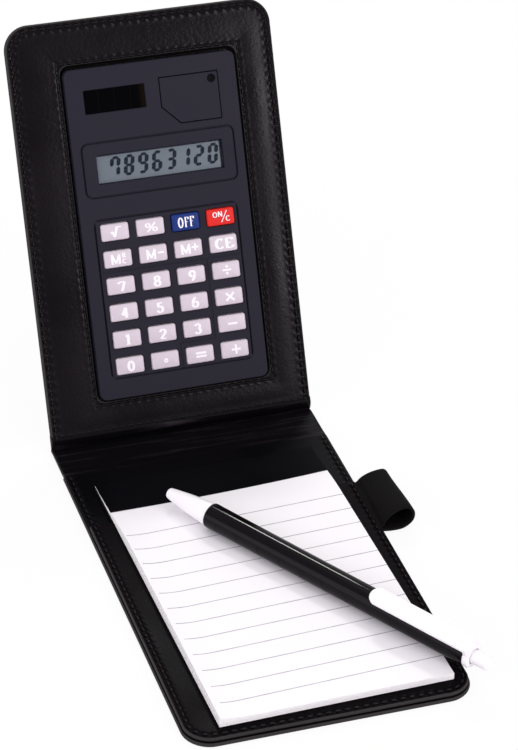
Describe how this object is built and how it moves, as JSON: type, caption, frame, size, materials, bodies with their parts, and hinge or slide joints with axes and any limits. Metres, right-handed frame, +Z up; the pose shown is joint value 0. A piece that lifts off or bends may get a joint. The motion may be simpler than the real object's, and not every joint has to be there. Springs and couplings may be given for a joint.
{
  "type": "calculator with notepad",
  "caption": "Folding leather cover standing open, with a pocket calculator in the lid, a ruled memo pad in the base, an elastic pen loop and a click pen.",
  "frame": {"origin": "centre of the base panel's underside, on the table", "axes": "+Z up, +Y from the base panel's front edge towards the spine and lid, +X to the right"},
  "size_m": [0.1034, 0.2213, 0.1305],
  "materials": {
    "cover_leather": "satin grained",
    "inner_leather": "satin grained",
    "stiff_board": "raw",
    "elastic": "woven",
    "case_plastic": "fine textured",
    "clear_window": "clear",
    "display": "reflective",
    "keypad_rubber": "moulded",
    "circuit": "solder resist",
    "chip_resin": "glossy",
    "solar_glass": "dark",
    "bright_steel": "bright",
    "black_screw": "blackened",
    "key_pale": "satin",
    "key_blue": "satin",
    "key_red": "satin",
    "pad_card": "raw",
    "pad_paper": "uncoated",
    "binding": "smooth tape",
    "pen_black": "glossy",
    "pen_white": "glossy",
    "ink_tube": "smooth"
  },
  "bodies": {
    "base": {"base_outer_cover": "cover_leather", "base_board": "stiff_board", "base_lining": "inner_leather", "base_pocket": "inner_leather", "pen_loop": "elastic"},
    "spine": {"spine_cover": "cover_leather", "spine_lining": "inner_leather"},
    "lid": {"lid_outer_cover": "cover_leather", "lid_board": "stiff_board", "lid_frame": "inner_leather", "calc_front_case": "case_plastic", "calc_back_case": "case_plastic", "lcd_window": "clear_window", "lcd_glass": "display", "zebra_strip": "keypad_rubber", "circuit_board": "circuit", "chip_blob": "chip_resin", "rubber_keypad": "keypad_rubber", "solar_cell": "solar_glass", "button_cell": "bright_steel", "battery_contacts": "bright_steel", "case_screws": "bright_steel"},
    "battery_hatch": {"battery_door": "case_plastic", "battery_door_screw": "black_screw"},
    "pad": {"pad_card_back": "pad_card", "pad_pages": "pad_paper", "pad_top_sheet": "pad_paper", "pad_binding_strip": "binding"},
    "pen": {"pen_barrel": "pen_black", "pen_nose": "pen_white", "pen_clip": "pen_white", "pen_spring": "bright_steel"},
    "pen_ink": {"pen_plunger": "pen_white", "pen_refill": "ink_tube"},
    "key_sqrt_cap": {"key_sqrt": "key_pale"},
    "key_percent_cap": {"key_percent": "key_pale"},
    "key_off_cap": {"key_off": "key_blue"},
    "key_on_clear_cap": {"key_on_clear": "key_red"},
    "key_mrc_cap": {"key_mrc": "key_pale"},
    "key_m_minus_cap": {"key_m_minus": "key_pale"},
    "key_m_plus_cap": {"key_m_plus": "key_pale"},
    "key_clear_entry_cap": {"key_clear_entry": "key_pale"},
    "key_7_cap": {"key_7": "key_pale"},
    "key_8_cap": {"key_8": "key_pale"},
    "key_9_cap": {"key_9": "key_pale"},
    "key_divide_cap": {"key_divide": "key_pale"},
    "key_4_cap": {"key_4": "key_pale"},
    "key_5_cap": {"key_5": "key_pale"},
    "key_6_cap": {"key_6": "key_pale"},
    "key_multiply_cap": {"key_multiply": "key_pale"},
    "key_1_cap": {"key_1": "key_pale"},
    "key_2_cap": {"key_2": "key_pale"},
    "key_3_cap": {"key_3": "key_pale"},
    "key_minus_cap": {"key_minus": "key_pale"},
    "key_0_cap": {"key_0": "key_pale"},
    "key_point_cap": {"key_point": "key_pale"},
    "key_equals_cap": {"key_equals": "key_pale"},
    "key_plus_cap": {"key_plus": "key_pale"}
  },
  "joints": [
    {"name": "spine_fold", "type": "hinge", "parent": "base", "child": "spine", "pos_m": [0, 0.07155, 0.0005], "axis": [1, 0, 0], "range_deg": [0, 90]},
    {"name": "lid_fold", "type": "hinge", "parent": "spine", "child": "lid", "pos_m": [0, 0.08665, 0.0005], "axis": [1, 0, 0], "range_deg": [-64, 26]},
    {"name": "battery_door_lift", "type": "slide", "parent": "lid", "child": "battery_hatch", "axis": [0, 0.8988, -0.4384], "range_m": [-0.006, 0]},
    {"name": "pad_slide", "type": "slide", "parent": "base", "child": "pad", "axis": [0.0227, -0.9997, 0], "range_m": [-0.018, 0]},
    {"name": "pen_lift", "type": "slide", "parent": "pad", "child": "pen", "axis": [0, 0, 1], "range_m": [0, 0.06]},
    {"name": "pen_click", "type": "slide", "parent": "pen", "child": "pen_ink", "axis": [-0.5284, 0.849, 0], "range_m": [0, 0.005], "stiffness_N_per_m": 250, "deforming": ["pen_spring"]},
    {"name": "key_sqrt_press", "type": "slide", "parent": "lid", "child": "key_sqrt_cap", "axis": [0, 0.8988, -0.4384], "range_m": [0, 0.0006], "stiffness_N_per_m": 400, "deforming": ["rubber_keypad"]},
    {"name": "key_percent_press", "type": "slide", "parent": "lid", "child": "key_percent_cap", "axis": [0, 0.8988, -0.4384], "range_m": [0, 0.0006], "stiffness_N_per_m": 400, "deforming": ["rubber_keypad"]},
    {"name": "key_off_press", "type": "slide", "parent": "lid", "child": "key_off_cap", "axis": [0, 0.8988, -0.4384], "range_m": [0, 0.0006], "stiffness_N_per_m": 400, "deforming": ["rubber_keypad"]},
    {"name": "key_on_clear_press", "type": "slide", "parent": "lid", "child": "key_on_clear_cap", "axis": [0, 0.8988, -0.4384], "range_m": [0, 0.0006], "stiffness_N_per_m": 400, "deforming": ["rubber_keypad"]},
    {"name": "key_mrc_press", "type": "slide", "parent": "lid", "child": "key_mrc_cap", "axis": [0, 0.8988, -0.4384], "range_m": [0, 0.0006], "stiffness_N_per_m": 400, "deforming": ["rubber_keypad"]},
    {"name": "key_m_minus_press", "type": "slide", "parent": "lid", "child": "key_m_minus_cap", "axis": [0, 0.8988, -0.4384], "range_m": [0, 0.0006], "stiffness_N_per_m": 400, "deforming": ["rubber_keypad"]},
    {"name": "key_m_plus_press", "type": "slide", "parent": "lid", "child": "key_m_plus_cap", "axis": [0, 0.8988, -0.4384], "range_m": [0, 0.0006], "stiffness_N_per_m": 400, "deforming": ["rubber_keypad"]},
    {"name": "key_clear_entry_press", "type": "slide", "parent": "lid", "child": "key_clear_entry_cap", "axis": [0, 0.8988, -0.4384], "range_m": [0, 0.0006], "stiffness_N_per_m": 400, "deforming": ["rubber_keypad"]},
    {"name": "key_7_press", "type": "slide", "parent": "lid", "child": "key_7_cap", "axis": [0, 0.8988, -0.4384], "range_m": [0, 0.0006], "stiffness_N_per_m": 400, "deforming": ["rubber_keypad"]},
    {"name": "key_8_press", "type": "slide", "parent": "lid", "child": "key_8_cap", "axis": [0, 0.8988, -0.4384], "range_m": [0, 0.0006], "stiffness_N_per_m": 400, "deforming": ["rubber_keypad"]},
    {"name": "key_9_press", "type": "slide", "parent": "lid", "child": "key_9_cap", "axis": [0, 0.8988, -0.4384], "range_m": [0, 0.0006], "stiffness_N_per_m": 400, "deforming": ["rubber_keypad"]},
    {"name": "key_divide_press", "type": "slide", "parent": "lid", "child": "key_divide_cap", "axis": [0, 0.8988, -0.4384], "range_m": [0, 0.0006], "stiffness_N_per_m": 400, "deforming": ["rubber_keypad"]},
    {"name": "key_4_press", "type": "slide", "parent": "lid", "child": "key_4_cap", "axis": [0, 0.8988, -0.4384], "range_m": [0, 0.0006], "stiffness_N_per_m": 400, "deforming": ["rubber_keypad"]},
    {"name": "key_5_press", "type": "slide", "parent": "lid", "child": "key_5_cap", "axis": [0, 0.8988, -0.4384], "range_m": [0, 0.0006], "stiffness_N_per_m": 400, "deforming": ["rubber_keypad"]},
    {"name": "key_6_press", "type": "slide", "parent": "lid", "child": "key_6_cap", "axis": [0, 0.8988, -0.4384], "range_m": [0, 0.0006], "stiffness_N_per_m": 400, "deforming": ["rubber_keypad"]},
    {"name": "key_multiply_press", "type": "slide", "parent": "lid", "child": "key_multiply_cap", "axis": [0, 0.8988, -0.4384], "range_m": [0, 0.0006], "stiffness_N_per_m": 400, "deforming": ["rubber_keypad"]},
    {"name": "key_1_press", "type": "slide", "parent": "lid", "child": "key_1_cap", "axis": [0, 0.8988, -0.4384], "range_m": [0, 0.0006], "stiffness_N_per_m": 400, "deforming": ["rubber_keypad"]},
    {"name": "key_2_press", "type": "slide", "parent": "lid", "child": "key_2_cap", "axis": [0, 0.8988, -0.4384], "range_m": [0, 0.0006], "stiffness_N_per_m": 400, "deforming": ["rubber_keypad"]},
    {"name": "key_3_press", "type": "slide", "parent": "lid", "child": "key_3_cap", "axis": [0, 0.8988, -0.4384], "range_m": [0, 0.0006], "stiffness_N_per_m": 400, "deforming": ["rubber_keypad"]},
    {"name": "key_minus_press", "type": "slide", "parent": "lid", "child": "key_minus_cap", "axis": [0, 0.8988, -0.4384], "range_m": [0, 0.0006], "stiffness_N_per_m": 400, "deforming": ["rubber_keypad"]},
    {"name": "key_0_press", "type": "slide", "parent": "lid", "child": "key_0_cap", "axis": [0, 0.8988, -0.4384], "range_m": [0, 0.0006], "stiffness_N_per_m": 400, "deforming": ["rubber_keypad"]},
    {"name": "key_point_press", "type": "slide", "parent": "lid", "child": "key_point_cap", "axis": [0, 0.8988, -0.4384], "range_m": [0, 0.0006], "stiffness_N_per_m": 400, "deforming": ["rubber_keypad"]},
    {"name": "key_equals_press", "type": "slide", "parent": "lid", "child": "key_equals_cap", "axis": [0, 0.8988, -0.4384], "range_m": [0, 0.0006], "stiffness_N_per_m": 400, "deforming": ["rubber_keypad"]},
    {"name": "key_plus_press", "type": "slide", "parent": "lid", "child": "key_plus_cap", "axis": [0, 0.8988, -0.4384], "range_m": [0, 0.0006], "stiffness_N_per_m": 400, "deforming": ["rubber_keypad"]}
  ]
}
